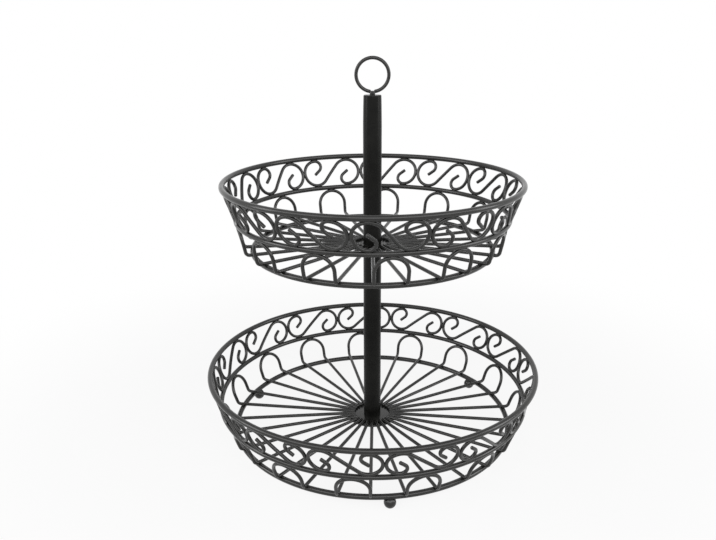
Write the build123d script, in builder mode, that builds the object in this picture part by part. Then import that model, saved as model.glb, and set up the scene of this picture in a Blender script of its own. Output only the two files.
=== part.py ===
from build123d import *
from math import asin, atan2, cos, degrees, hypot, pi, radians, sin, sqrt, tan
import os

# Two-tier wire basket on a central pole, with a ring handle on top and three ball feet.
# Millimetres, +Z up, origin on the floor under the pole. Azimuth 0 is the front, at -Y,
# and grows towards +X. Radii and heights of wire rings are those of the wire's centre.

# Wires. Rings and the handle have a six-sided section that stands for round stock and is as
# wide across flats as the stock is thick. The fine wires of scrolls and arches have a
# five-sided one, as wide in the plane of their bends as the stock is thick. Bends and hoops
# are straight runs with mitred corners.
wire_sides = 6
fine_sides = 5
rim_wire = 4.7
middle_wire = 4.3
base_wire = 4.7
fine_wire = 3.0
weld_gap = 0.15

# Straight runs of a tier's hoops for each of its scrolls. The runs of the lower base ring
# are shared evenly among the feet.
hoop_runs = 3
base_runs = 2

# Upper tier
upper_rim_radius = 126.6
upper_middle_radius = 116.4
upper_base_radius = 103.6
upper_rim_rise = 28.9
upper_middle_rise = 28.4
upper_foot_overhang = 7.4
upper_count = 13
upper_scroll_azimuth = 5.95
upper_arch_azimuth = 6.9
upper_leg_share = 0.473
upper_arch_share = 0.574
upper_scroll_aspect_share = 2.285

# Lower tier
lower_rim_radius = 147.3
lower_middle_radius = 139.1
lower_base_radius = 126.0
lower_rim_rise = 27.7
lower_middle_rise = 27.0
lower_foot_overhang = 4.6
lower_count = 15
lower_scroll_azimuth = 15.5
lower_arch_azimuth = -6.6
lower_leg_share = 0.483
lower_arch_share = 0.636
lower_scroll_aspect_share = 2.56

# Scroll, as shares of its loop's radius: the loop turns into a tighter hook and a short tail
scroll_hook_share = 0.455
scroll_tail_share = 0.51
hook_turn = 141.0
loop_start_steps = 1
loop_steps = 5
hook_steps = 3
arch_steps = 5

# Spokes and hub plates
spoke_bend_radius = 3.5
spoke_end_gap = 0.3
hub_lap = 6.5
hub_thickness = 2.0

# Pole: two tubes with threaded inserts, joined by a stud through the upper hub. Tubes, cap
# and washer have many flat sides that lie at the named radii, and so have the holes for the
# round studs and the screw.
turned_sides = 24
hole_sides = 12
tube_diameter = 15.7
tube_wall = 1.5
lower_tube_length = 166.0
upper_tube_length = 124.5
taper_length = 25.0
taper_step = 0.4
insert_sides = 6
insert_length = 12.0
insert_fit = 0.05
thread_diameter = 6.0
thread_fit = 0.05
thread_grip = 10.0
hole_clearance = 0.2

# Cap and ring handle
cap_thickness = 2.0
cap_bevel = 0.9
cap_spigot = 8.0
ring_wire = 2.9
ring_outer_diameter = 29.6
ring_lift = 1.0
ring_runs = 18
stud_diameter = 4.5
stud_rise_share = 0.75
stud_depth = 6.0

# Base screw and washer
washer_diameter = 16.0
washer_thickness = 1.2
screw_head_sides = 6
screw_head_width = 10.0
screw_head_height = 4.0

# Ball feet
foot_count = 3
foot_azimuth = 6.2
foot_diameter = 10.0
foot_flat_depth = 0.3
foot_seat_depth = 2.05
foot_sides = 10
foot_steps = 5

# Heights that follow from the pieces that stand on each other
foot_radius = foot_diameter / 2
foot_centre = foot_radius - foot_flat_depth
lower_base_height = foot_centre + foot_radius + base_wire / 2 - foot_seat_depth
lower_middle_height = lower_base_height + lower_middle_rise
lower_rim_height = lower_middle_height + lower_rim_rise
lower_hub_top = lower_base_height + base_wire / 2
lower_hub_bottom = lower_hub_top - hub_thickness
lower_tube_top = lower_hub_top + lower_tube_length
upper_hub_bottom = lower_tube_top
upper_hub_top = upper_hub_bottom + hub_thickness
upper_base_height = upper_hub_top - base_wire / 2
upper_middle_height = upper_base_height + upper_middle_rise
upper_rim_height = upper_middle_height + upper_rim_rise
upper_tube_top = upper_hub_top + upper_tube_length
cap_top = upper_tube_top + cap_thickness
ring_radius = (ring_outer_diameter - ring_wire) / 2
ring_height = cap_top + ring_lift + ring_wire / 2 + ring_radius

# Radii that follow
corner_share = 1 / cos(pi / wire_sides)
fine_corner = fine_wire / 2 / cos(pi / fine_sides / 2)
fine_flat = fine_corner * cos(pi / fine_sides)
tube_radius = tube_diameter / 2
bore_radius = tube_radius - tube_wall
taper_radius = tube_radius - taper_step
insert_radius = bore_radius - insert_fit
thread_radius = thread_diameter / 2
tapped_radius = thread_radius + thread_fit
clear_radius = thread_radius + hole_clearance
stud_radius = stud_diameter / 2

# Hoops are many-sided: their corners lie outside the named radius and their runs inside it
upper_hoop_sides = hoop_runs * upper_count
lower_hoop_sides = hoop_runs * lower_count
upper_base_sides = base_runs * upper_count
lower_base_sides = base_runs * lower_count

# Slope of each tier's wall, in degrees from the vertical, at the scrolls
upper_slope = degrees(atan2(upper_rim_radius - upper_middle_radius, upper_rim_rise))
lower_slope = degrees(atan2(lower_rim_radius - lower_middle_radius, lower_rim_rise))

os.makedirs("parts", exist_ok=True)


def wall_point(azimuth, radius, height):
    """Point at an azimuth in radians, a radius from the pole and a height above the floor."""
    return Vector(radius * sin(azimuth), -radius * cos(azimuth), height)


def wall_normal(azimuth, slope):
    """Direction square to a sloping wall, outwards, at an azimuth and a slope in degrees."""
    return wall_point(radians(azimuth), cos(radians(slope)), -sin(radians(slope)))


def arc_points(centre_u, centre_v, radius, start, turn, steps):
    """Points along an arc, after its first, in a flat pattern."""
    angles = [radians(start + turn * (i + 1) / steps) for i in range(steps)]
    return [(centre_u + radius * cos(a), centre_v + radius * sin(a)) for a in angles]


def hoop_corners(radius, sides):
    """Corners of a flat closed hoop that starts and ends midway along the run at -v."""
    corner_radius = 2 * radius / (1 + cos(pi / sides))
    corners = arc_points(0, 0, corner_radius, 180 / sides - 90, 360, sides)
    middle = (0, -corner_radius * cos(pi / sides))
    return [middle] + corners[-1:] + corners[:-1] + [middle]


def level_hoop(radius, height, sides, azimuth):
    """Corners of a level hoop with a run's middle at an azimuth in degrees."""
    return [Vector(u, v, height).rotate(Axis.Z, azimuth) for u, v in hoop_corners(radius, sides)]


def unit_scroll(aspect):
    """Flat S-scroll with loops of radius 1, aspect to each side: corners from tail to tail."""
    side_step = pi / loop_steps / 2
    centre = aspect - cos(side_step)
    lean = degrees(asin(1 / centre))
    reach = sqrt(centre**2 - 1)
    half = [(reach * cos(radians(lean)), -reach * sin(radians(lean)))]
    half += arc_points(centre, 0, 1, 270 - lean, lean, loop_start_steps)
    half += arc_points(centre, 0, 1, 270, 180, loop_steps)
    hook = arc_points(centre, 1 - scroll_hook_share, scroll_hook_share, 90, hook_turn, hook_steps)
    end = radians(90 + hook_turn)
    last = hook.pop()
    half += hook
    half += [(last[0] - scroll_tail_share * sin(end), last[1] + scroll_tail_share * cos(end))]
    return [(-u, -v) for u, v in reversed(half)] + half


def scroll_corners(aspect, count, low_radius, low_height, high_radius, high_height):
    """Corners of one scroll on the sloping wall between the middle ring and the rim."""
    slant = hypot(high_radius - low_radius, high_height - low_height)
    top_turn = radians(180 / loop_steps + hook_turn / hook_steps) / 2
    fine_reach = fine_wire / 2 / cos(top_turn / 2)
    half_height = (slant - (rim_wire + middle_wire) / 2) / 2 - fine_reach - weld_gap
    mean_radius = (low_radius + high_radius) / 2
    half_width = pi * mean_radius / count - (fine_wire + weld_gap) / 2
    shift = (middle_wire - rim_wire) / 4
    corners = []
    for u, v in unit_scroll(aspect):
        along = (v * half_height + shift) / slant + 1 / 2
        radius = low_radius + (high_radius - low_radius) * along
        height = low_height + (high_height - low_height) * along
        corners.append(wall_point(u / aspect * half_width / mean_radius, radius, height))
    return corners


def spoke_angle(count, leg_share):
    """Half of the angle, in radians, between the two legs of one arch."""
    return pi / count * leg_share


def spoke_start(count, leg_share):
    """Radius where the spokes end at the hub, lying side by side there."""
    nearest = pi / count * min(leg_share, 1 - leg_share)
    return (fine_wire + spoke_end_gap) / 2 / sin(nearest)


def arch_corners(count, leg_share, rise_share, base_radius, base_height, overhang,
                 middle_radius, middle_height, slope):
    """Corners of one bent wire: spoke, leg, arch under the middle ring, leg, spoke."""
    foot_out = base_radius + overhang
    spoke_height = base_height + base_wire / 2 + weld_gap + fine_flat
    run = middle_radius - foot_out
    climb = middle_height - spoke_height
    length = hypot(run, climb)
    tilt = atan2(run, climb)
    off_flat = abs(radians(slope) - tilt)
    ring_reach = middle_wire / 2 * corner_share * cos(pi / wire_sides - off_flat)
    clear = length - ring_reach - weld_gap - fine_wire / 2
    rise = clear * rise_share
    side_step = pi / arch_steps / 2
    centre = clear - rise * cos(side_step)
    half = spoke_angle(count, leg_share)
    bend = spoke_bend_radius * tan((pi / 2 - tilt) / 2)
    inner = spoke_start(count, leg_share)
    upright = [(half, bend), (half, centre)]
    for u, v in arc_points(0, 0, 1, 0, 180, arch_steps):
        upright.append((u * half, centre + v * rise))
    upright.append((-half, bend))
    corners = [wall_point(half, inner, spoke_height)]
    corners.append(wall_point(half, foot_out - bend, spoke_height))
    for azimuth, v in upright:
        radius = foot_out + v * sin(tilt)
        corners.append(wall_point(azimuth, radius, spoke_height + v * cos(tilt)))
    corners.append(wall_point(-half, foot_out - bend, spoke_height))
    corners.append(wall_point(-half, inner, spoke_height))
    return corners


# Rims, middle rings and base rings: closed hoops. The flats of the rims and middle rings
# lie along the wall's slope, so that the scrolls meet them flat.
with BuildPart() as upper_rim:
    with BuildLine() as upper_rim_path:
        Polyline(level_hoop(upper_rim_radius, upper_rim_height, upper_hoop_sides, upper_scroll_azimuth))
    upper_rim_wire = upper_rim_path.wires()[0]
    outward = wall_normal(upper_scroll_azimuth, upper_slope)
    with BuildSketch(Plane(upper_rim_wire @ 0, x_dir=outward, z_dir=upper_rim_wire % 0)):
        RegularPolygon(rim_wire / 2, wire_sides, major_radius=False)
    sweep(path=upper_rim_wire, transition=Transition.RIGHT)
upper_rim.part.label = "upper_rim"

with BuildPart() as upper_middle_ring:
    with BuildLine() as upper_middle_ring_path:
        Polyline(
            level_hoop(upper_middle_radius, upper_middle_height, upper_hoop_sides, upper_scroll_azimuth)
        )
    upper_middle_ring_wire = upper_middle_ring_path.wires()[0]
    outward = wall_normal(upper_scroll_azimuth, upper_slope)
    with BuildSketch(Plane(upper_middle_ring_wire @ 0, x_dir=outward, z_dir=upper_middle_ring_wire % 0)):
        RegularPolygon(middle_wire / 2, wire_sides, major_radius=False)
    sweep(path=upper_middle_ring_wire, transition=Transition.RIGHT)
upper_middle_ring.part.label = "upper_middle_ring"

with BuildPart() as upper_base_ring:
    with BuildLine() as upper_base_ring_path:
        Polyline(level_hoop(upper_base_radius, upper_base_height, upper_base_sides, upper_arch_azimuth))
    upper_base_ring_wire = upper_base_ring_path.wires()[0]
    outward = wall_normal(upper_arch_azimuth, 0)
    with BuildSketch(Plane(upper_base_ring_wire @ 0, x_dir=outward, z_dir=upper_base_ring_wire % 0)):
        RegularPolygon(base_wire / 2, wire_sides, major_radius=False)
    sweep(path=upper_base_ring_wire, transition=Transition.RIGHT)
upper_base_ring.part.label = "upper_base_ring"

with BuildPart() as lower_rim:
    with BuildLine() as lower_rim_path:
        Polyline(level_hoop(lower_rim_radius, lower_rim_height, lower_hoop_sides, lower_scroll_azimuth))
    lower_rim_wire = lower_rim_path.wires()[0]
    outward = wall_normal(lower_scroll_azimuth, lower_slope)
    with BuildSketch(Plane(lower_rim_wire @ 0, x_dir=outward, z_dir=lower_rim_wire % 0)):
        RegularPolygon(rim_wire / 2, wire_sides, major_radius=False)
    sweep(path=lower_rim_wire, transition=Transition.RIGHT)
lower_rim.part.label = "lower_rim"

with BuildPart() as lower_middle_ring:
    with BuildLine() as lower_middle_ring_path:
        Polyline(
            level_hoop(lower_middle_radius, lower_middle_height, lower_hoop_sides, lower_scroll_azimuth)
        )
    lower_middle_ring_wire = lower_middle_ring_path.wires()[0]
    outward = wall_normal(lower_scroll_azimuth, lower_slope)
    with BuildSketch(Plane(lower_middle_ring_wire @ 0, x_dir=outward, z_dir=lower_middle_ring_wire % 0)):
        RegularPolygon(middle_wire / 2, wire_sides, major_radius=False)
    sweep(path=lower_middle_ring_wire, transition=Transition.RIGHT)
lower_middle_ring.part.label = "lower_middle_ring"

with BuildPart() as lower_base_ring:
    with BuildLine() as lower_base_ring_path:
        Polyline(level_hoop(lower_base_radius, lower_base_height, lower_base_sides, foot_azimuth))
    lower_base_ring_wire = lower_base_ring_path.wires()[0]
    outward = wall_normal(foot_azimuth, 0)
    with BuildSketch(Plane(lower_base_ring_wire @ 0, x_dir=outward, z_dir=lower_base_ring_wire % 0)):
        RegularPolygon(base_wire / 2, wire_sides, major_radius=False)
    sweep(path=lower_base_ring_wire, transition=Transition.RIGHT)
lower_base_ring.part.label = "lower_base_ring"

# One scroll of the upper tier, and the band of them between middle ring and rim
upper_scroll_line = scroll_corners(
    upper_scroll_aspect_share, upper_count,
    upper_middle_radius, upper_middle_height, upper_rim_radius, upper_rim_height,
)
with BuildPart() as upper_scroll:
    with BuildLine() as upper_scroll_path:
        Polyline(upper_scroll_line)
    upper_scroll_wire = upper_scroll_path.wires()[0]
    outward = wall_normal(0, upper_slope)
    with BuildSketch(Plane(upper_scroll_wire @ 0, x_dir=outward, z_dir=upper_scroll_wire % 0)):
        RegularPolygon(fine_corner, fine_sides)
    sweep(path=upper_scroll_wire, transition=Transition.RIGHT)

with BuildPart() as upper_scrolls:
    with PolarLocations(0, upper_count, start_angle=upper_scroll_azimuth):
        add(upper_scroll.part)
upper_scrolls.part.label = "upper_scrolls"

# One scroll of the lower tier, and its band
lower_scroll_line = scroll_corners(
    lower_scroll_aspect_share, lower_count,
    lower_middle_radius, lower_middle_height, lower_rim_radius, lower_rim_height,
)
with BuildPart() as lower_scroll:
    with BuildLine() as lower_scroll_path:
        Polyline(lower_scroll_line)
    lower_scroll_wire = lower_scroll_path.wires()[0]
    outward = wall_normal(0, lower_slope)
    with BuildSketch(Plane(lower_scroll_wire @ 0, x_dir=outward, z_dir=lower_scroll_wire % 0)):
        RegularPolygon(fine_corner, fine_sides)
    sweep(path=lower_scroll_wire, transition=Transition.RIGHT)

with BuildPart() as lower_scrolls:
    with PolarLocations(0, lower_count, start_angle=lower_scroll_azimuth):
        add(lower_scroll.part)
lower_scrolls.part.label = "lower_scrolls"

# One arch of the upper tier with its two spokes, and the ring of them
upper_arch_line = arch_corners(
    upper_count, upper_leg_share, upper_arch_share, upper_base_radius, upper_base_height,
    upper_foot_overhang, upper_middle_radius, upper_middle_height, upper_slope,
)
with BuildPart() as upper_arch:
    with BuildLine() as upper_arch_path:
        Polyline(upper_arch_line)
    upper_arch_wire = upper_arch_path.wires()[0]
    with BuildSketch(Plane(upper_arch_wire @ 0, x_dir=(0, 0, 1), z_dir=upper_arch_wire % 0)):
        RegularPolygon(fine_corner, fine_sides)
    sweep(path=upper_arch_wire, transition=Transition.RIGHT)

with BuildPart() as upper_arches:
    with PolarLocations(0, upper_count, start_angle=upper_arch_azimuth):
        add(upper_arch.part)
upper_arches.part.label = "upper_arches"

# One arch of the lower tier with its two spokes, and the ring of them
lower_arch_line = arch_corners(
    lower_count, lower_leg_share, lower_arch_share, lower_base_radius, lower_base_height,
    lower_foot_overhang, lower_middle_radius, lower_middle_height, lower_slope,
)
with BuildPart() as lower_arch:
    with BuildLine() as lower_arch_path:
        Polyline(lower_arch_line)
    lower_arch_wire = lower_arch_path.wires()[0]
    with BuildSketch(Plane(lower_arch_wire @ 0, x_dir=(0, 0, 1), z_dir=lower_arch_wire % 0)):
        RegularPolygon(fine_corner, fine_sides)
    sweep(path=lower_arch_wire, transition=Transition.RIGHT)

with BuildPart() as lower_arches:
    with PolarLocations(0, lower_count, start_angle=lower_arch_azimuth):
        add(lower_arch.part)
lower_arches.part.label = "lower_arches"

# Hub plates under the inner ends of the spokes, with a side for each spoke
with BuildPart() as upper_hub:
    with BuildSketch(Plane.XY.offset(upper_hub_bottom)):
        RegularPolygon(spoke_start(upper_count, upper_leg_share) + hub_lap, 2 * upper_count)
        RegularPolygon(clear_radius, hole_sides, major_radius=False, mode=Mode.SUBTRACT)
    extrude(amount=hub_thickness)
upper_hub.part.label = "upper_hub"

with BuildPart() as lower_hub:
    with BuildSketch(Plane.XY.offset(lower_hub_bottom)):
        RegularPolygon(spoke_start(lower_count, lower_leg_share) + hub_lap, 2 * lower_count)
        RegularPolygon(clear_radius, hole_sides, major_radius=False, mode=Mode.SUBTRACT)
    extrude(amount=hub_thickness)
lower_hub.part.label = "lower_hub"

# Pole tubes. The upper one narrows slightly towards the cap.
with BuildPart() as lower_tube:
    with BuildSketch(Plane.XY.offset(lower_hub_top)):
        RegularPolygon(tube_radius, turned_sides, major_radius=False)
        RegularPolygon(bore_radius, turned_sides, major_radius=False, mode=Mode.SUBTRACT)
    extrude(amount=lower_tube_length)
lower_tube.part.label = "lower_tube"

with BuildPart() as upper_tube:
    with BuildSketch(Plane.XY.offset(upper_hub_top)):
        RegularPolygon(tube_radius, turned_sides, major_radius=False)
    extrude(amount=upper_tube_length - taper_length)
    with BuildSketch(Plane.XY.offset(upper_tube_top - taper_length)):
        RegularPolygon(tube_radius, turned_sides, major_radius=False)
    extrude(amount=taper_length, taper=degrees(atan2(taper_step, taper_length)))
    with BuildSketch(Plane.XY.offset(upper_hub_top)):
        RegularPolygon(bore_radius, turned_sides, major_radius=False)
    extrude(amount=upper_tube_length, mode=Mode.SUBTRACT)
upper_tube.part.label = "upper_tube"

# Threaded inserts, flush with the tube ends, and the stud through the upper hub
with BuildPart() as lower_tube_bottom_insert:
    with BuildSketch(Plane.XY.offset(lower_hub_top)):
        RegularPolygon(insert_radius, insert_sides)
        RegularPolygon(tapped_radius, hole_sides, major_radius=False, mode=Mode.SUBTRACT)
    extrude(amount=insert_length)
lower_tube_bottom_insert.part.label = "lower_tube_bottom_insert"

with BuildPart() as lower_tube_top_insert:
    with BuildSketch(Plane.XY.offset(lower_tube_top)):
        RegularPolygon(insert_radius, insert_sides)
        RegularPolygon(tapped_radius, hole_sides, major_radius=False, mode=Mode.SUBTRACT)
    extrude(amount=-insert_length)
lower_tube_top_insert.part.label = "lower_tube_top_insert"

with BuildPart() as upper_tube_insert:
    with BuildSketch(Plane.XY.offset(upper_hub_top)):
        RegularPolygon(insert_radius, insert_sides)
        RegularPolygon(tapped_radius, hole_sides, major_radius=False, mode=Mode.SUBTRACT)
    extrude(amount=insert_length)
upper_tube_insert.part.label = "upper_tube_insert"

with BuildPart() as joining_stud:
    with BuildSketch(Plane.XY.offset(upper_hub_bottom - thread_grip)):
        Circle(thread_radius)
    extrude(amount=hub_thickness + 2 * thread_grip)
joining_stud.part.label = "joining_stud"

# Cap that closes the upper tube, with a bevelled edge and a spigot in the bore
with BuildPart() as top_cap:
    with BuildSketch(Plane.XY.offset(upper_tube_top)):
        RegularPolygon(taper_radius, turned_sides, major_radius=False)
    extrude(amount=cap_thickness)
    chamfer(top_cap.edges().group_by(Axis.Z)[-1], cap_bevel)
    with BuildSketch(Plane.XY.offset(upper_tube_top)):
        RegularPolygon(insert_radius, turned_sides, major_radius=False)
    extrude(amount=-cap_spigot)
    with BuildSketch(Plane.XY.offset(cap_top)):
        RegularPolygon(stud_radius + thread_fit, hole_sides, major_radius=False)
    extrude(amount=-stud_depth, mode=Mode.SUBTRACT)
top_cap.part.label = "top_cap"

with BuildPart() as handle_stud:
    with BuildSketch(Plane.XY.offset(cap_top - stud_depth)):
        Circle(stud_radius)
    extrude(amount=stud_depth + ring_lift + ring_wire * stud_rise_share)
handle_stud.part.label = "handle_stud"

# Ring handle, open at the bottom where its two ends meet the stud
with BuildPart() as ring_handle:
    with BuildLine() as ring_path:
        Polyline([Vector(u, 0, ring_height + v) for u, v in hoop_corners(ring_radius, ring_runs)])
    ring_path_wire = ring_path.wires()[0]
    with BuildSketch(Plane(ring_path_wire @ 0, x_dir=(0, 1, 0), z_dir=ring_path_wire % 0)):
        RegularPolygon(ring_wire / 2, wire_sides, major_radius=False)
    sweep(path=ring_path_wire, transition=Transition.RIGHT)
    with BuildSketch(Plane.XY.offset(cap_top)):
        RegularPolygon(stud_radius + weld_gap, hole_sides, major_radius=False)
    extrude(amount=ring_lift + 2 * ring_wire, mode=Mode.SUBTRACT)
ring_handle.part.label = "ring_handle"

# Washer and screw that hold the lower hub to the pole from below
with BuildPart() as base_washer:
    with BuildSketch(Plane.XY.offset(lower_hub_bottom)):
        RegularPolygon(washer_diameter / 2, turned_sides, major_radius=False)
        RegularPolygon(clear_radius, hole_sides, major_radius=False, mode=Mode.SUBTRACT)
    extrude(amount=-washer_thickness)
base_washer.part.label = "base_washer"

screw_seat = lower_hub_bottom - washer_thickness
with BuildPart() as base_screw:
    with BuildSketch(Plane.XY.offset(screw_seat)):
        RegularPolygon(screw_head_width / 2, screw_head_sides, major_radius=False)
    extrude(amount=-screw_head_height)
    with BuildSketch(Plane.XY.offset(screw_seat)):
        Circle(thread_radius)
    extrude(amount=washer_thickness + hub_thickness + thread_grip)
base_screw.part.label = "base_screw"

# Ball feet: ten-sided balls, flattened where they stand and let into the base ring's wire
foot_low = -degrees(asin(foot_centre / foot_radius))
foot_out = -hoop_corners(lower_base_radius, lower_base_sides)[0][1]
with BuildPart() as ball_foot:
    for step in range(foot_steps - 1):
        low = radians(foot_low + (90 - foot_low) * step / foot_steps)
        high = radians(foot_low + (90 - foot_low) * (step + 1) / foot_steps)
        band_height = foot_radius * (sin(high) - sin(low))
        band_inset = foot_radius * (cos(low) - cos(high)) * cos(pi / foot_sides)
        with BuildSketch(Plane.XY.offset(foot_centre + foot_radius * sin(low))):
            with Locations((foot_out, 0)):
                RegularPolygon(foot_radius * cos(low), foot_sides)
        extrude(amount=band_height, taper=degrees(atan2(band_inset, band_height)))
    with BuildSketch(Plane.XZ):
        with Locations((foot_out, lower_base_height)):
            RegularPolygon(base_wire / 2 + weld_gap, wire_sides, major_radius=False)
    extrude(amount=foot_radius, both=True, mode=Mode.SUBTRACT)

with BuildPart() as ball_feet:
    with PolarLocations(0, foot_count, start_angle=foot_azimuth - 90):
        add(ball_foot.part)
ball_feet.part.label = "ball_feet"

export_step(ring_handle.part, "parts/ring_handle.step")
export_step(handle_stud.part, "parts/handle_stud.step")
export_step(top_cap.part, "parts/top_cap.step")
export_step(upper_tube.part, "parts/upper_tube.step")
export_step(upper_tube_insert.part, "parts/upper_tube_insert.step")
export_step(joining_stud.part, "parts/joining_stud.step")
export_step(upper_hub.part, "parts/upper_hub.step")
export_step(upper_rim.part, "parts/upper_rim.step")
export_step(upper_middle_ring.part, "parts/upper_middle_ring.step")
export_step(upper_base_ring.part, "parts/upper_base_ring.step")
export_step(upper_scrolls.part, "parts/upper_scrolls.step")
export_step(upper_arches.part, "parts/upper_arches.step")
export_step(lower_tube.part, "parts/lower_tube.step")
export_step(lower_tube_top_insert.part, "parts/lower_tube_top_insert.step")
export_step(lower_tube_bottom_insert.part, "parts/lower_tube_bottom_insert.step")
export_step(lower_hub.part, "parts/lower_hub.step")
export_step(lower_rim.part, "parts/lower_rim.step")
export_step(lower_middle_ring.part, "parts/lower_middle_ring.step")
export_step(lower_base_ring.part, "parts/lower_base_ring.step")
export_step(lower_scrolls.part, "parts/lower_scrolls.step")
export_step(lower_arches.part, "parts/lower_arches.step")
export_step(base_screw.part, "parts/base_screw.step")
export_step(base_washer.part, "parts/base_washer.step")
export_step(ball_feet.part, "parts/ball_feet.step")
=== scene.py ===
import bpy
from math import asin, atan2, cos, degrees, hypot, pi, radians, sin, sqrt, tan
from mathutils import Matrix, Vector


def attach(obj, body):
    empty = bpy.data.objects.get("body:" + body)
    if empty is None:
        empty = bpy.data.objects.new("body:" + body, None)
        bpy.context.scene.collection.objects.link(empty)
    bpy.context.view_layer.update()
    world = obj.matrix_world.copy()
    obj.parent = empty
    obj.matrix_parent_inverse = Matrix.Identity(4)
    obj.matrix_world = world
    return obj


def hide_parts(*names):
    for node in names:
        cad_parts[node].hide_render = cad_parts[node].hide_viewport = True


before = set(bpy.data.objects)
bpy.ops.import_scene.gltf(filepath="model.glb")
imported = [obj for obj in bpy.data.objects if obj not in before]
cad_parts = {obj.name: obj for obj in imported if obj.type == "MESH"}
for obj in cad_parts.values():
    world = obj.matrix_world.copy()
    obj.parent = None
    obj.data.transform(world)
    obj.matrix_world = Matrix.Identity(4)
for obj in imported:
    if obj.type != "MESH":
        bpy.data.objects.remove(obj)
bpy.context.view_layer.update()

# Sizes are in millimetres and angles in degrees. Azimuth 0 is the front, and it grows to the right.
MM = 0.001

# Thickness of the wires
RIM_WIRE = 4.7
MIDDLE_WIRE = 4.3
BASE_WIRE = 4.7
FINE_WIRE = 3.0
RING_WIRE = 2.9

# Ball feet, and how far their tops sink past the underside of the lower base ring
FOOT_COUNT = 3
FOOT_R = 5.0
FOOT_FLAT_DEPTH = 0.3
FOOT_SEAT_DEPTH = 2.05
FOOT_OUT = 125.8
FOOT_AZIMUTH = 6.2

# Hub plates
HUB_LAP = 6.5
HUB_THICKNESS = 2.0
HUB_ROUND = 0.35
HOLE_R = 3.2

# Pole: the upper tube narrows a little towards its top
TUBE_R = 7.85
TUBE_WALL = 1.5
TUBE_EDGE = 0.2
LOWER_TUBE_LENGTH = 166.0
UPPER_TUBE_LENGTH = 124.5
TAPER_STEP = 0.4
TAPER_LENGTH = 25.0
TAPER_POWER = 1.6
TAPER_STEPS = 10

# Cap, with its plug in the upper tube. What lies within the face's depth of its top gets a lighter,
# glossier copy of the pole's coat, a painted highlight.
CAP_THICKNESS = 2.0
CAP_ROUND = 1.2
CAP_RIM = 0.4
CAP_FACE_DEPTH = 0.1
PLUG_FIT = 0.05
PLUG_LENGTH = 8.0

# Stud and ring handle
STUD_R = 2.25
STUD_SUNK = 6.0
STUD_OUT = 3.1
STUD_ROUND = 0.6
RING_R = 13.35
RING_LIFT = 1.0
RING_GAP = 0.02

# Screw and washer under the lower hub
HEAD_HEIGHT = 4.0
HEAD_WIDTH = 10.0
HEAD_SIDES = 6
HEAD_FACE_SHARE = 0.93
HEAD_CHAMFER = 30
SHANK_R = 3.0
SHANK_GRIP = 10.0
SHANK_EDGE = 0.6
WASHER_R = 8.0
WASHER_THICKNESS = 1.2
WASHER_ROUND = 0.35
WASHER_EDGE = 0.1

# Heights that follow from the pieces that stand on each other
FOOT_Z = FOOT_R - FOOT_FLAT_DEPTH
LOWER_HUB_TOP = FOOT_Z + FOOT_R - FOOT_SEAT_DEPTH + BASE_WIRE
LOWER_TUBE_TOP = LOWER_HUB_TOP + LOWER_TUBE_LENGTH
UPPER_HUB_TOP = LOWER_TUBE_TOP + HUB_THICKNESS
UPPER_TUBE_TOP = UPPER_HUB_TOP + UPPER_TUBE_LENGTH
CAP_TOP = UPPER_TUBE_TOP + CAP_THICKNESS
RING_Z = CAP_TOP + RING_LIFT + RING_WIRE / 2 + RING_R
SCREW_SEAT = LOWER_HUB_TOP - HUB_THICKNESS - WASHER_THICKNESS

# Radii that follow
BORE_R = TUBE_R - TUBE_WALL
TAPER_R = TUBE_R - TAPER_STEP
PLUG_R = BORE_R - PLUG_FIT

# Tiers. Radii and rises are those of the centres of the rings' wires. Legs stand out from the base
# ring by the overhang. Shares set how far apart an arch's legs are and how much of it is its bow.
UPPER = {
    "name": "upper",
    "count": 13,
    "hub_top": UPPER_HUB_TOP,
    "rim_radius": 126.6,
    "middle_radius": 116.4,
    "base_radius": 103.6,
    "rim_rise": 28.9,
    "middle_rise": 28.4,
    "overhang": 7.4,
    "scroll_azimuth": 5.95,
    "arch_azimuth": 6.9,
    "leg_share": 0.473,
    "bow_share": 0.574,
    "scroll_aspect": 2.285,
}
LOWER = {
    "name": "lower",
    "count": 15,
    "hub_top": LOWER_HUB_TOP,
    "rim_radius": 147.3,
    "middle_radius": 139.1,
    "base_radius": 126.0,
    "rim_rise": 27.7,
    "middle_rise": 27.0,
    "overhang": 4.6,
    "scroll_azimuth": 15.5,
    "arch_azimuth": -6.6,
    "leg_share": 0.483,
    "bow_share": 0.636,
    "scroll_aspect": 2.56,
}

# Scrolls: the hook at each end and its straight tail, as shares of the loop's radius
HOOK_SHARE = 0.455
TAIL_SHARE = 0.51
HOOK_TURN = 141.0

# Spokes
BEND_RADIUS = 3.5
SPOKE_END_GAP = 0.3

# How far welded wires sink into each other
SCROLL_SINK = 0.5
SIDE_SINK = 0.2
ARCH_SINK = 0.4
SPOKE_SINK = 0.8

# Weld nuggets by their half-axes: around the pole, along their lean and square to both. A lean is a
# direction as shares outwards and upwards.
LOOP_WELD = (2.8, 0.8, 1.1)
SIDE_WELD = (0.7, 2.1, 1.0)
ARCH_WELD = (2.6, 0.8, 1.1)
SPOKE_WELD = (1.7, 1.9, 0.7)
HUB_WELD = (1.6, 2.0, 0.5)
HUB_WELD_OUT = 2.2
HANDLE_WELD = (1.1, 1.5, 1.5)
FOOT_WELD = (3.4, 2.2, 0.9)
FOOT_WELD_SINK = 0.8
LEVEL = (1, 0)

# Cut ends of wires: the length of their rounding, as a share of the wire's radius, and a point on
# it, as shares of that length backwards and inwards
END_SHARE = 0.35
END_POINT_SHARES = (0.35, 0.3)

# Sides of round pieces
WIRE_SIDES = 16
HANDLE_SIDES = 20
HOOP_WIRE_SIDES = 24
HOOP_SIDES = 288
TURNED_SIDES = 96
SMALL_TURNED_SIDES = 48
SCREW_SIDES = 72

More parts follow.
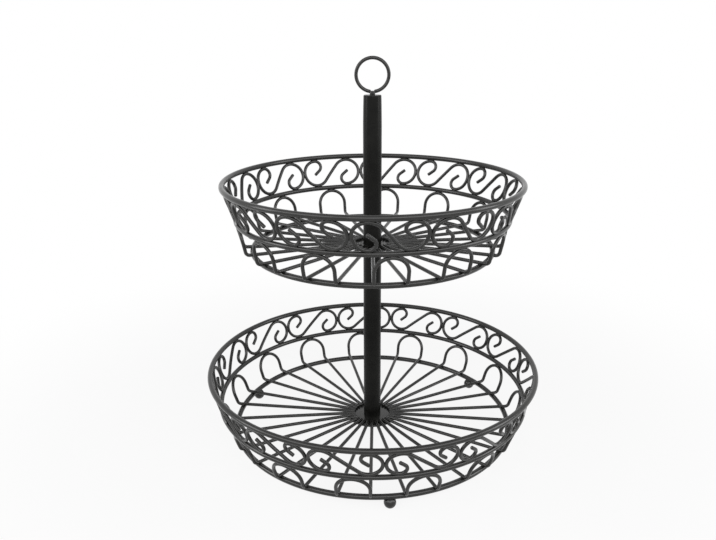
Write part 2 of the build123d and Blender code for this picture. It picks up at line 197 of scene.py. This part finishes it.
# Steps along curves and straight runs
RUN_STEPS = 5
LOOP_STEPS = 40
HOOK_STEPS = 18
TAIL_STEPS = 4
SPOKE_STEPS = 8
BEND_STEPS = 8
LEG_STEPS = 5
BOW_STEPS = 14
RING_STEPS = 180
EDGE_STEPS = 3
CAP_EDGE_STEPS = 9
BALL_STEPS = 24

# Floor and lights, in metres and watts. Near the object the floor's white is a little less than
# full, so that the shadow shows. A softbox has an elevation, a distance, a size and a power.
FLOOR_HALF = 30.0
FLOOR_FADE = (0.2, 0.55)
FLOOR_WHITE_SHARES = (0.88, 1.0)
LAMP_AIM = (0, 0, 0.16)
WIDE_BOX = (31, 1.95, (1.45, 1.1), 11.5)
NARROW_BOX = (17, 1.8, (0.6, 1.2), 8.5)

# Camera, solved from the rings, the pole and the foot in the photograph, which is 716 pixels wide
CAMERA_TILT = 18.683
CAMERA_PAN = -0.974
CAMERA_ROLL = -0.338
CAMERA_PLACE = (-2.4, -603.9, 359.6)
FOCAL_PIXELS = 719.5
PHOTO_PIXELS = 716.0
SENSOR_WIDTH = 36.0
CLIP_START = 0.01
CLIP_END = 100.0


# Materials

def add_node(tree, kind, constants=None):
    """Shader node, with constants by the names of their sockets."""
    node = tree.nodes.new(kind)
    for socket, value in (constants or {}).items():
        node.inputs[socket].default_value = value
    return node


def colour_ramp(tree, dark, light, start=0.0, end=1.0):
    """Ramp from a dark to a light colour."""
    ramp = tree.nodes.new("ShaderNodeValToRGB")
    for element, colour, position in zip(ramp.color_ramp.elements, (dark, light), (start, end)):
        element.position = position
        element.color = (*colour, 1)
    return ramp


def coat(name, dark, light, rough, grain, shine, bump=0.04):
    """Satin powder coat: a slightly mottled dark colour, a fine orange-peel bump and uneven gloss."""
    mat = bpy.data.materials.new(name)
    mat.use_nodes = True
    tree = mat.node_tree
    shader = tree.nodes["Principled BSDF"]
    shader.inputs["Specular IOR Level"].default_value = shine
    place = add_node(tree, "ShaderNodeTexCoord")
    blotch = add_node(tree, "ShaderNodeTexNoise", {"Scale": 90.0, "Detail": 4.0, "Roughness": 0.6})
    peel = add_node(tree, "ShaderNodeTexNoise", {"Scale": grain, "Detail": 3.0})
    ramp = colour_ramp(tree, dark, light, 0.35, 0.7)
    gloss = add_node(tree, "ShaderNodeMapRange", {
        "From Min": 0.3, "From Max": 0.7, "To Min": rough - 0.05, "To Max": rough + 0.06,
    })
    lift = add_node(tree, "ShaderNodeBump", {"Strength": 0.35, "Distance": bump * MM})
    link = tree.links.new
    link(place.outputs["Object"], blotch.inputs["Vector"])
    link(place.outputs["Object"], peel.inputs["Vector"])
    link(blotch.outputs["Fac"], ramp.inputs["Fac"])
    link(ramp.outputs["Color"], shader.inputs["Base Color"])
    link(blotch.outputs["Fac"], gloss.inputs["Value"])
    link(gloss.outputs["Result"], shader.inputs["Roughness"])
    link(peel.outputs["Fac"], lift.inputs["Height"])
    link(lift.outputs["Normal"], shader.inputs["Normal"])
    return mat


def zinc(name):
    """Zinc-plated steel with a faint brushed grain."""
    mat = bpy.data.materials.new(name)
    mat.use_nodes = True
    tree = mat.node_tree
    shader = tree.nodes["Principled BSDF"]
    shader.inputs["Metallic"].default_value = 1.0
    place = add_node(tree, "ShaderNodeTexCoord")
    grain = add_node(tree, "ShaderNodeTexNoise", {"Scale": 400.0, "Detail": 5.0})
    ramp = colour_ramp(tree, (0.38, 0.38, 0.37), (0.58, 0.58, 0.57))
    gloss = add_node(tree, "ShaderNodeMapRange", {"To Min": 0.25, "To Max": 0.45})
    link = tree.links.new
    link(place.outputs["Object"], grain.inputs["Vector"])
    link(grain.outputs["Fac"], ramp.inputs["Fac"])
    link(grain.outputs["Fac"], gloss.inputs["Value"])
    link(ramp.outputs["Color"], shader.inputs["Base Color"])
    link(gloss.outputs["Result"], shader.inputs["Roughness"])
    return mat


WIRE_DARK = (0.0085, 0.0084, 0.0077)
WIRE_LIGHT = (0.0150, 0.0147, 0.0132)
wire_paint = coat("wire_powder_coat", WIRE_DARK, WIRE_LIGHT, rough=0.20, grain=1500.0, shine=0.43)
# The pole's coat is a darker, less glossy copy of the wires' coat: painted shade.
pole_painted_shade_coat = coat(
    "painted_shade_pole_coat", (0.005, 0.005, 0.0045), (0.009, 0.009, 0.008),
    rough=0.27, grain=1100.0, shine=0.12,
)
# The cap's top face gets a lighter, glossier copy of the pole's coat: a painted highlight.
cap_top_painted_highlight = coat(
    "painted_highlight_cap_top", (0.006, 0.006, 0.0055), (0.010, 0.010, 0.009),
    rough=0.15, grain=1100.0, shine=0.5, bump=0.01,
)
weld_paint = coat("weld_powder_coat", WIRE_DARK, WIRE_LIGHT, rough=0.30, grain=1900.0, shine=0.42)
steel = zinc("zinc_plated_steel")


# Lines and places

def wall_point(azimuth, radius, height):
    """Point at an azimuth in radians, a radius from the pole and a height above the floor."""
    return Vector((radius * sin(azimuth), -radius * cos(azimuth), height))


def arc(centre_u, centre_v, radius, start, turn, steps, first=1):
    """Points along an arc. It leaves out its start, unless first is 0."""
    angles = [radians(start + turn * i / steps) for i in range(first, steps + 1)]
    return [(centre_u + radius * cos(a), centre_v + radius * sin(a)) for a in angles]


def straight(start, end, steps):
    """Points along a straight run, without its start."""
    run_u, run_v = end[0] - start[0], end[1] - start[1]
    shares = [i / steps for i in range(1, steps + 1)]
    return [(start[0] + run_u * share, start[1] + run_v * share) for share in shares]


def wire_sections(path, radius):
    """Centre, direction and share of the radius of each section of a wire with rounded cut ends."""
    last = len(path) - 1
    directions = []
    for i in range(last + 1):
        directions.append((path[min(i + 1, last)] - path[max(i - 1, 0)]).normalized())
    point_back, point_in = END_POINT_SHARES
    ends = [
        (0.0, 1 - END_SHARE),
        (END_SHARE * point_back, 1 - END_SHARE * point_in),
        (END_SHARE, 1.0),
    ]
    start, end = directions[0], directions[-1]
    sections = [(path[0] + start * radius * back, start, share) for back, share in ends]
    sections += [(path[i], directions[i], 1.0) for i in range(1, last)]
    sections += [(path[-1] - end * radius * back, end, share) for back, share in reversed(ends)]
    return sections


class Shape:
    """Points and faces of one piece, in millimetres."""

    def __init__(self):
        self.verts = []
        self.faces = []

    def join_rows(self, base, rows, sides, endless=False):
        """Faces between rows of points. In an endless shape the last row meets the first."""
        for j in range(rows if endless else rows - 1):
            low = base + j * sides
            high = base + (j + 1) % rows * sides
            for k in range(sides):
                after = (k + 1) % sides
                self.faces.append((low + k, low + after, high + after, high + k))

    def close_start(self, row, sides):
        """Flat face on the first row of points."""
        self.faces.append(tuple(row + k for k in reversed(range(sides))))

    def close_end(self, row, sides):
        """Flat face on the last row of points."""
        self.faces.append(tuple(row + k for k in range(sides)))

    def close_in_tip(self, row, sides, tip):
        """Faces from the last row of points to a tip."""
        self.verts.append(tip)
        for k in range(sides):
            self.faces.append((row + k, row + (k + 1) % sides, row + sides))

    def wire(self, path, thickness, sides=WIRE_SIDES):
        """Round wire along a path of points that doesn't start upright."""
        base = len(self.verts)
        radius = thickness / 2
        sections = wire_sections(path, radius)
        last = sections[0][1]
        side = last.cross(Vector((0, 0, 1))).normalized()
        for centre, direction, share in sections:
            side = (last.rotation_difference(direction) @ side).normalized()
            side = (side - direction * side.dot(direction)).normalized()
            up = direction.cross(side)
            last = direction
            for k in range(sides):
                a = 2 * pi * k / sides
                self.verts.append(tuple(centre + (side * cos(a) + up * sin(a)) * radius * share))
        self.join_rows(base, len(sections), sides)
        self.close_start(base, sides)
        self.close_end(base + (len(sections) - 1) * sides, sides)

    def turned_rows(self, profile, sides, centre=(0.0, 0.0)):
        """A row of points around an upright axis for each radius and height of a profile."""
        for radius, height in profile:
            for i in range(sides):
                a = 2 * pi * i / sides
                self.verts.append((centre[0] + radius * sin(a), centre[1] - radius * cos(a), height))

    def turned(self, profile, sides=TURNED_SIDES, centre=(0.0, 0.0)):
        """Solid turned piece, from its profile's bottom to a flat, or to a tip where the radius is 0."""
        base = len(self.verts)
        top_radius, top_height = profile[-1]
        pointed = top_radius == 0
        rows = profile[:-1] if pointed else profile
        self.turned_rows(rows, sides, centre)
        self.join_rows(base, len(rows), sides)
        self.close_start(base, sides)
        top = base + (len(rows) - 1) * sides
        if pointed:
            self.close_in_tip(top, sides, (*centre, top_height))
        else:
            self.close_end(top, sides)

    def turned_ring(self, outline, sides=TURNED_SIDES):
        """Turned piece with a hole through it, from the closed outline of its section."""
        base = len(self.verts)
        self.turned_rows(outline, sides)
        self.join_rows(base, len(outline), sides, endless=True)

    def nugget(self, centre, axes, rows=6, sides=12):
        """Small weld nugget: an ellipsoid on three half-axes."""
        across, along, deep = axes
        base = len(self.verts)
        self.verts.append(tuple(centre - deep))
        for j in range(1, rows + 1):
            b = -pi / 2 + pi * j / (rows + 1)
            for k in range(sides):
                a = 2 * pi * k / sides
                level = across * cos(a) * cos(b) + along * sin(a) * cos(b)
                self.verts.append(tuple(centre + level + deep * sin(b)))
        for k in range(sides):
            self.faces.append((base, base + 1 + (k + 1) % sides, base + 1 + k))
        self.join_rows(base + 1, rows, sides)
        self.close_in_tip(base + 1 + (rows - 1) * sides, sides, tuple(centre + deep))

    def weld(self, azimuth, place, half_axes, lean):
        """Nugget at a radius and height, with a lean given as shares outwards and upwards."""
        across, along, deep = half_axes
        side = Vector((cos(azimuth), sin(azimuth), 0))
        up = wall_point(azimuth, 1, 0) * lean[0] + Vector((0, 0, 1)) * lean[1]
        axes = (side * across, up * along, side.cross(up) * deep)
        self.nugget(wall_point(azimuth, *place), axes)


def make(name, shape, mat, nodes=(), crisp=None):
    """Piece from a shape. Edges that turn by more than crisp degrees stay sharp."""
    mesh = bpy.data.meshes.new(name)
    mesh.from_pydata([tuple(c * MM for c in v) for v in shape.verts], [], shape.faces)
    mesh.validate()
    mesh.materials.append(mat)
    mesh.shade_smooth()
    if crisp:
        mesh.set_sharp_from_angle(angle=radians(crisp))
    mesh.update()
    obj = bpy.data.objects.new(name, mesh)
    bpy.context.scene.collection.objects.link(obj)
    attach(obj, "root")
    if nodes:
        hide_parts(*nodes)
    return obj


# Places and sizes on a tier, worked out from its driving sizes

def turns(tier, azimuth):
    """Azimuths in radians of what repeats around a tier, from a first one in degrees."""
    step = 2 * pi / tier["count"]
    return [radians(azimuth) + i * step for i in range(tier["count"])]


def ring_place(tier, ring):
    """Radius and height of the centre of the wire of a rim, a middle ring or a base ring."""
    height = tier["hub_top"] - BASE_WIRE / 2
    if ring != "base":
        height += tier["middle_rise"]
    if ring == "rim":
        height += tier["rim_rise"]
    return tier[ring + "_radius"], height


def wall_place(tier, share):
    """Radius and height at a share of the way from the middle ring to the rim."""
    (low_r, low_z), (high_r, high_z) = ring_place(tier, "middle"), ring_place(tier, "rim")
    return low_r + (high_r - low_r) * share, low_z + (high_z - low_z) * share


def wall_slant(tier):
    """Distance from the middle ring to the rim, along the sloping wall."""
    return hypot(tier["rim_radius"] - tier["middle_radius"], tier["rim_rise"])


def wall_lean(tier):
    """Direction of the wall from the middle ring to the rim, as shares outwards and upwards."""
    slant = wall_slant(tier)
    return (tier["rim_radius"] - tier["middle_radius"]) / slant, tier["rim_rise"] / slant


def mean_radius(tier):
    """Radius of the wall halfway between the middle ring and the rim."""
    return (tier["middle_radius"] + tier["rim_radius"]) / 2


def scroll_middle_share(tier):
    """Share of the way up the wall where a scroll's middle lies, midway between the two wires."""
    return 1 / 2 + (MIDDLE_WIRE - RIM_WIRE) / 4 / wall_slant(tier)


def scroll_half_width(tier):
    """Half of a scroll's width, to the centre of its wire. Neighbours sink into each other a little."""
    return pi * mean_radius(tier) / tier["count"] - FINE_WIRE / 2 + SIDE_SINK


def scroll_turn(tier):
    """Azimuth in radians that one unit of a flat scroll's width takes up."""
    return scroll_half_width(tier) / tier["scroll_aspect"] / mean_radius(tier)


def leg_azimuth(tier):
    """Azimuth in radians from the middle of an arch to its leg."""
    return pi / tier["count"] * tier["leg_share"]


def leg_foot(tier):
    """Radius and height where the lines of a leg and its spoke meet."""
    base_r, base_z = ring_place(tier, "base")
    return base_r + tier["overhang"], base_z + (BASE_WIRE + FINE_WIRE) / 2 - SPOKE_SINK


def leg_slope(tier):
    """Distance from a leg's foot to the middle ring, and the leg's tilt in radians."""
    foot_r, foot_z = leg_foot(tier)
    middle_r, middle_z = ring_place(tier, "middle")
    return hypot(middle_r - foot_r, middle_z - foot_z), atan2(middle_r - foot_r, middle_z - foot_z)


def spoke_end(tier):
    """Radius where the spokes end on the hub plate, lying side by side."""
    nearest = pi / tier["count"] * min(tier["leg_share"], 1 - tier["leg_share"])
    return (FINE_WIRE + SPOKE_END_GAP) / 2 / sin(nearest)


# The pieces of a tier

def flat_scroll(aspect):
    """S-scroll with loops of radius 1 and a reach of aspect to each side, from tail to tail."""
    centre = aspect - 1
    lean = degrees(asin(1 / centre))
    reach = sqrt(centre ** 2 - 1)
    half = straight((0.0, 0.0), (reach * cos(radians(lean)), -reach * sin(radians(lean))), RUN_STEPS)
    half += arc(centre, 0, 1, 270 - lean, 180 + lean, LOOP_STEPS)
    half += arc(centre, 1 - HOOK_SHARE, HOOK_SHARE, 90, HOOK_TURN, HOOK_STEPS)
    end = radians(90 + HOOK_TURN)
    u, v = half[-1]
    half += straight((u, v), (u - TAIL_SHARE * sin(end), v + TAIL_SHARE * cos(end)), TAIL_STEPS)
    return [(-u, -v) for u, v in reversed(half)] + [(0.0, 0.0)] + half


def scroll_line(tier):
    """One scroll on the wall, as azimuths in radians, radii and heights."""
    slant = wall_slant(tier)
    half_height = (slant - (RIM_WIRE + MIDDLE_WIRE) / 2 - FINE_WIRE) / 2 + SCROLL_SINK
    middle = scroll_middle_share(tier)
    turn = scroll_turn(tier)
    flat = flat_scroll(tier["scroll_aspect"])
    return [(u * turn, *wall_place(tier, middle + v * half_height / slant)) for u, v in flat]


def arch_line(tier):
    """One arch with its legs and spokes, as azimuths in radians, radii and heights."""
    half = leg_azimuth(tier)
    foot_r, foot_z = leg_foot(tier)
    length, tilt = leg_slope(tier)
    clear = length - MIDDLE_WIRE / 2 - FINE_WIRE / 2 + ARCH_SINK
    rise = clear * tier["bow_share"]
    bend = BEND_RADIUS * tan((pi / 2 - tilt) / 2)

    def up_leg(distance):
        return foot_r + distance * sin(tilt), foot_z + distance * cos(tilt)

    start = (spoke_end(tier), foot_z)
    side = [start] + straight(start, (foot_r - bend, foot_z), SPOKE_STEPS)
    turn = 90 - degrees(tilt)
    side += arc(foot_r - bend, foot_z + BEND_RADIUS, BEND_RADIUS, -90, turn, BEND_STEPS)
    side += straight(up_leg(bend), up_leg(clear - rise), LEG_STEPS)
    right = [(half, radius, height) for radius, height in side]
    for u, v in arc(0, 0, 1, 0, 90, BOW_STEPS):
        right.append((u * half, *up_leg(clear - rise + v * rise)))
    left = [(-azimuth, radius, height) for azimuth, radius, height in reversed(right[:-1])]
    return right + left


def make_rings(tier):
    """Rim, middle ring and base ring."""
    rings = (
        ("rim", "_rim", RIM_WIRE),
        ("middle", "_middle_ring", MIDDLE_WIRE),
        ("base", "_base_ring", BASE_WIRE),
    )
    for ring, ending, wire in rings:
        name = tier["name"] + ending
        section = arc(*ring_place(tier, ring), wire / 2, 0, 360, HOOP_WIRE_SIDES)
        shape = Shape()
        shape.turned_ring(section, HOOP_SIDES)
        make(name + "_round", shape, wire_paint, [name])


def make_bent_wires(tier, kind, line, azimuth):
    """A row of scrolls or arches around the tier, from the line of one."""
    name = tier["name"] + "_" + kind
    shape = Shape()
    for turn in turns(tier, azimuth):
        shape.wire([wall_point(a + turn, radius, height) for a, radius, height in line], FINE_WIRE)
    make(name + "_round", shape, wire_paint, [name])


def weld_scroll(shape, tier, turn):
    """Welds of a scroll: its loops to the rim and the middle ring, and one side to its neighbour."""
    lean = wall_lean(tier)
    slant = wall_slant(tier)
    rim_face = wall_place(tier, 1 - RIM_WIRE / 2 / slant)
    middle_face = wall_place(tier, MIDDLE_WIRE / 2 / slant)
    for sign in (-1, 1):
        loop = turn + sign * (tier["scroll_aspect"] - 1) * scroll_turn(tier)
        shape.weld(loop, rim_face, LOOP_WELD, lean)
        shape.weld(loop, middle_face, LOOP_WELD, lean)
    touch = turn + pi / tier["count"]
    shape.weld(touch, wall_place(tier, scroll_middle_share(tier)), SIDE_WELD, lean)


def weld_arch(shape, tier, turn):
    """Welds of an arch: its top to the middle ring, and its spokes to the base ring and the hub."""
    middle_r, middle_z = ring_place(tier, "middle")
    tilt = leg_slope(tier)[1]
    lean = (sin(tilt), cos(tilt))
    ring_face = (middle_r - lean[0] * MIDDLE_WIRE / 2, middle_z - lean[1] * MIDDLE_WIRE / 2)
    shape.weld(turn, ring_face, ARCH_WELD, lean)
    for sign in (-1, 1):
        leg = turn + sign * leg_azimuth(tier)
        shape.weld(leg, (tier["base_radius"], tier["hub_top"]), SPOKE_WELD, LEVEL)
        shape.weld(leg, (spoke_end(tier) + HUB_WELD_OUT, tier["hub_top"]), HUB_WELD, LEVEL)


def make_welds(tier):
    """All the welds of a tier, as one piece."""
    shape = Shape()
    for turn in turns(tier, tier["scroll_azimuth"]):
        weld_scroll(shape, tier, turn)
    for turn in turns(tier, tier["arch_azimuth"]):
        weld_arch(shape, tier, turn)
    make(tier["name"] + "_welds", shape, weld_paint)


def make_hub_plate(tier):
    """Round plate under the ends of the spokes, with rounded edges."""
    top = tier["hub_top"]
    low = top - HUB_THICKNESS
    corner = spoke_end(tier) + HUB_LAP - HUB_ROUND
    outline = [(HOLE_R, low)]
    outline += arc(corner, low + HUB_ROUND, HUB_ROUND, -90, 90, EDGE_STEPS, first=0)
    outline += arc(corner, top - HUB_ROUND, HUB_ROUND, 0, 90, EDGE_STEPS, first=0)
    outline += [(HOLE_R, top)]
    shape = Shape()
    shape.turned_ring(outline)
    make(tier["name"] + "_hub_plate", shape, wire_paint, [tier["name"] + "_hub"], crisp=40)


def dress_tier(tier):
    """Every piece of a tier."""
    make_rings(tier)
    make_bent_wires(tier, "scrolls", scroll_line(tier), tier["scroll_azimuth"])
    make_bent_wires(tier, "arches", arch_line(tier), tier["arch_azimuth"])
    make_welds(tier)
    make_hub_plate(tier)


# The pieces of the pole, the feet and the fastening

def make_tubes():
    """Both tubes of the pole, with broken edges. The upper one narrows a little towards the cap."""
    low, top = LOWER_HUB_TOP, LOWER_TUBE_TOP
    shape = Shape()
    shape.turned_ring([
        (BORE_R, low), (TUBE_R - TUBE_EDGE, low), (TUBE_R, low + TUBE_EDGE),
        (TUBE_R, top - TUBE_EDGE), (TUBE_R - TUBE_EDGE, top), (BORE_R, top),
    ])
    make("lower_tube_round", shape, pole_painted_shade_coat, ["lower_tube"], crisp=30)

    low, top = UPPER_HUB_TOP, UPPER_TUBE_TOP
    outline = [(BORE_R, low), (TUBE_R - TUBE_EDGE, low), (TUBE_R, low + TUBE_EDGE)]
    for i in range(TAPER_STEPS + 1):
        share = i / TAPER_STEPS
        radius = TUBE_R - TAPER_STEP * share ** TAPER_POWER
        outline.append((radius, top - TAPER_LENGTH + TAPER_LENGTH * share))
    outline += [(BORE_R, top)]
    shape = Shape()
    shape.turned_ring(outline)
    make("upper_tube_round", shape, pole_painted_shade_coat, ["upper_tube"], crisp=30)


def make_cap():
    """Cap with a plug in the tube, a rounded edge and a top face in a lighter, glossier copy of the
    pole's coat: a painted highlight.
    """
    seat = UPPER_TUBE_TOP
    corner = TAPER_R - CAP_ROUND
    profile = [(PLUG_R, seat - PLUG_LENGTH), (PLUG_R, seat), (TAPER_R, seat)]
    profile += arc(corner, CAP_TOP - CAP_ROUND, CAP_ROUND, 0, 90, CAP_EDGE_STEPS, first=0)
    profile += [(corner - CAP_RIM, CAP_TOP)]
    shape = Shape()
    shape.turned(profile)
    cap = make("top_cap_round", shape, pole_painted_shade_coat, ["top_cap"], crisp=40)
    # Painted highlight: the top face takes the lighter, glossier copy of the pole's coat.
    cap.data.materials.append(cap_top_painted_highlight)
    for face in cap.data.polygons:
        if face.center.z > (CAP_TOP - CAP_FACE_DEPTH) * MM:
            face.material_index = 1


def make_handle():
    """Stud on the cap, the ring handle with its ends at the stud, and the welds between them."""
    top = CAP_TOP + STUD_OUT
    profile = [(STUD_R, CAP_TOP - STUD_SUNK)]
    profile += arc(STUD_R - STUD_ROUND, top - STUD_ROUND, STUD_ROUND, 0, 90, EDGE_STEPS, first=0)
    shape = Shape()
    shape.turned(profile, SMALL_TURNED_SIDES)
    make("handle_stud_round", shape, wire_paint, ["handle_stud"])

    gap = degrees(asin((STUD_R + RING_GAP) / RING_R))
    ring = arc(0, RING_Z, RING_R, gap - 90, 360 - 2 * gap, RING_STEPS, first=0)
    shape = Shape()
    shape.wire([Vector((x, 0, z)) for x, z in ring], RING_WIRE, HANDLE_SIDES)
    make("ring_handle_round", shape, wire_paint, ["ring_handle"])

    shape = Shape()
    for x, z in (ring[-1], ring[0]):
        shape.nugget(Vector((x, 0, z)), Matrix.Diagonal(HANDLE_WELD))
    make("handle_weld", shape, weld_paint)


def make_feet():
    """Ball feet, flat where they stand, and their welds to the lower base ring."""
    low = -degrees(asin(FOOT_Z / FOOT_R))
    ball = arc(0, FOOT_Z, FOOT_R, low, 90 - low, BALL_STEPS, first=0)
    ball[-1] = (0.0, FOOT_Z + FOOT_R)
    feet, welds = Shape(), Shape()
    for i in range(FOOT_COUNT):
        azimuth = radians(FOOT_AZIMUTH + 360 / FOOT_COUNT * i)
        centre = wall_point(azimuth, FOOT_OUT, 0)
        feet.turned(ball, SMALL_TURNED_SIDES, (centre.x, centre.y))
        welds.weld(azimuth, (FOOT_OUT, LOWER_HUB_TOP - BASE_WIRE + FOOT_WELD_SINK), FOOT_WELD, LEVEL)
    make("ball_feet_round", feet, wire_paint, ["ball_feet"])
    make("foot_welds", welds, weld_paint)


def make_washer():
    """Stamped washer with a rolled lower edge."""
    low, top = SCREW_SEAT, SCREW_SEAT + WASHER_THICKNESS
    shape = Shape()
    shape.turned_ring([
        (HOLE_R, low), (WASHER_R - WASHER_ROUND, low), (WASHER_R, low + WASHER_ROUND),
        (WASHER_R, top - WASHER_EDGE), (WASHER_R - WASHER_EDGE, top), (HOLE_R, top),
    ])
    make("base_washer_round", shape, steel, ["base_washer"], crisp=20)


def make_screw():
    """Screw with a six-sided head, chamfered below as if turned, and a plain shank."""
    angles = [2 * pi * i / SCREW_SIDES for i in range(SCREW_SIDES)]
    half = pi / HEAD_SIDES
    head = [HEAD_WIDTH / 2 / cos((a + half) % (2 * half) - half) for a in angles]
    head_low = SCREW_SEAT - HEAD_HEIGHT
    face_r = HEAD_FACE_SHARE * HEAD_WIDTH / 2
    shank_top = LOWER_HUB_TOP + SHANK_GRIP
    rows = [
        [(face_r, head_low)] * SCREW_SIDES,
        [(r, head_low + (r - face_r) * tan(radians(HEAD_CHAMFER))) for r in head],
        [(r, SCREW_SEAT) for r in head],
        [(SHANK_R, SCREW_SEAT)] * SCREW_SIDES,
        [(SHANK_R, shank_top - SHANK_EDGE)] * SCREW_SIDES,
        [(SHANK_R - SHANK_EDGE, shank_top)] * SCREW_SIDES,
    ]
    shape = Shape()
    for row in rows:
        shape.verts += [(r * sin(a), -r * cos(a), z) for a, (r, z) in zip(angles, row)]
    shape.join_rows(0, len(rows), SCREW_SIDES)
    shape.close_start(0, SCREW_SIDES)
    shape.close_end((len(rows) - 1) * SCREW_SIDES, SCREW_SIDES)
    make("base_screw_chamfered", shape, steel, ["base_screw"], crisp=20)


def coat_hidden_steel():
    """Steel on the CAD pieces that stay: the inserts and the joining stud inside the pole."""
    hidden = ("upper_tube_insert", "joining_stud", "lower_tube_top_insert", "lower_tube_bottom_insert")
    for name in hidden:
        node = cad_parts[name]
        if not node.material_slots:
            node.data.materials.append(steel)
        for held in node.material_slots:
            held.material = steel


# Floor, lights and camera

def math_node(tree, operation, first, second):
    """Output of a math node that takes two outputs."""
    node = tree.nodes.new("ShaderNodeMath")
    node.operation = operation
    tree.links.new(first, node.inputs[0])
    tree.links.new(second, node.inputs[1])
    return node.outputs[0]


def looks_white(tree):
    """1 for rays that look straight at a surface or by way of gloss or glass."""
    rays = add_node(tree, "ShaderNodeLightPath")
    direct = math_node(tree, "MAXIMUM", rays.outputs["Is Camera Ray"], rays.outputs["Is Glossy Ray"])
    return math_node(tree, "MAXIMUM", direct, rays.outputs["Is Transmission Ray"])


def floor_material():
    """Pale matt floor that fades to plain white away from the object's shadow."""
    mat = bpy.data.materials.new("floor")
    mat.use_nodes = True
    tree = mat.node_tree
    tree.nodes.clear()
    out = add_node(tree, "ShaderNodeOutputMaterial")
    matt = add_node(tree, "ShaderNodeBsdfDiffuse", {"Color": (0.86, 0.86, 0.86, 1)})
    glow = add_node(tree, "ShaderNodeEmission", {"Color": (1, 1, 1, 1), "Strength": 1.0})
    place = add_node(tree, "ShaderNodeNewGeometry")
    reach = add_node(tree, "ShaderNodeVectorMath")
    reach.operation = "LENGTH"
    fade = add_node(tree, "ShaderNodeMapRange", {
        "From Min": FLOOR_FADE[0], "From Max": FLOOR_FADE[1],
        "To Min": FLOOR_WHITE_SHARES[0], "To Max": FLOOR_WHITE_SHARES[1],
    })
    fade.interpolation_type = "SMOOTHSTEP"
    mix = add_node(tree, "ShaderNodeMixShader")
    link = tree.links.new
    link(place.outputs["Position"], reach.inputs[0])
    link(reach.outputs["Value"], fade.inputs["Value"])
    link(math_node(tree, "MULTIPLY", looks_white(tree), fade.outputs["Result"]), mix.inputs["Fac"])
    link(matt.outputs["BSDF"], mix.inputs[1])
    link(glow.outputs["Emission"], mix.inputs[2])
    link(mix.outputs["Shader"], out.inputs["Surface"])
    return mat


def make_floor():
    """Floor under the object."""
    half = FLOOR_HALF
    mesh = bpy.data.meshes.new("floor")
    corners = [(-half, -half, 0), (half, -half, 0), (half, half, 0), (-half, half, 0)]
    mesh.from_pydata(corners, [], [(0, 1, 2, 3)])
    mesh.materials.append(floor_material())
    floor = bpy.data.objects.new("floor", mesh)
    bpy.context.scene.collection.objects.link(floor)


def make_world():
    """World that looks white to the camera and in reflections, and gives a dim plain light."""
    world = bpy.data.worlds.new("studio")
    bpy.context.scene.world = world
    world.use_nodes = True
    tree = world.node_tree
    tree.nodes.clear()
    out = add_node(tree, "ShaderNodeOutputWorld")
    dim = add_node(tree, "ShaderNodeBackground", {"Color": (1, 1, 1, 1), "Strength": 0.18})
    white = add_node(tree, "ShaderNodeBackground", {"Color": (1, 1, 1, 1), "Strength": 1.0})
    mix = add_node(tree, "ShaderNodeMixShader")
    tree.links.new(looks_white(tree), mix.inputs["Fac"])
    tree.links.new(dim.outputs["Background"], mix.inputs[1])
    tree.links.new(white.outputs["Background"], mix.inputs[2])
    tree.links.new(mix.outputs["Shader"], out.inputs["Surface"])


def softbox(name, azimuth, elevation, distance, size, power):
    """Area lamp that looks at the object's middle."""
    data = bpy.data.lights.new(name, "AREA")
    data.shape = "RECTANGLE"
    data.size, data.size_y = size
    data.energy = power
    obj = bpy.data.objects.new(name, data)
    aim = Vector(LAMP_AIM)
    a, e = radians(azimuth), radians(elevation)
    obj.location = aim + distance * Vector((sin(a) * cos(e), -cos(a) * cos(e), sin(e)))
    obj.rotation_mode = "QUATERNION"
    obj.rotation_quaternion = (aim - obj.location).to_track_quat("-Z", "Y")
    bpy.context.scene.collection.objects.link(obj)


def place_camera():
    """Camera at the photograph's place."""
    tilt, pan, roll = radians(CAMERA_TILT), radians(CAMERA_PAN), radians(CAMERA_ROLL)
    forward = Vector((sin(pan) * cos(tilt), cos(pan) * cos(tilt), -sin(tilt)))
    level = Vector((cos(pan), -sin(pan), 0))
    upright = level.cross(forward)
    right = level * cos(roll) + upright * sin(roll)
    up = upright * cos(roll) - level * sin(roll)
    data = bpy.data.cameras.new("camera")
    data.sensor_fit = "HORIZONTAL"
    data.sensor_width = SENSOR_WIDTH
    data.lens = SENSOR_WIDTH * FOCAL_PIXELS / PHOTO_PIXELS
    data.clip_start, data.clip_end = CLIP_START, CLIP_END
    camera = bpy.data.objects.new("camera", data)
    turn = Matrix((right, up, -forward)).transposed().to_4x4()
    camera.matrix_world = Matrix.Translation(Vector(CAMERA_PLACE) * MM) @ turn
    bpy.context.scene.collection.objects.link(camera)
    bpy.context.scene.camera = camera


dress_tier(UPPER)
dress_tier(LOWER)
make_tubes()
make_cap()
make_handle()
make_feet()
make_washer()
make_screw()
coat_hidden_steel()

make_floor()
make_world()
# Three wide boxes side by side give the wires their highlights, two narrow ones the bands on the pole
softbox("front_softbox", 3, *WIDE_BOX)
softbox("front_left_softbox", -48, *WIDE_BOX)
softbox("front_right_softbox", 48, *WIDE_BOX)
softbox("left_softbox", -81.6, *NARROW_BOX)
softbox("right_softbox", 85, *NARROW_BOX)
place_camera()
bpy.context.scene.view_settings.view_transform = "Standard"
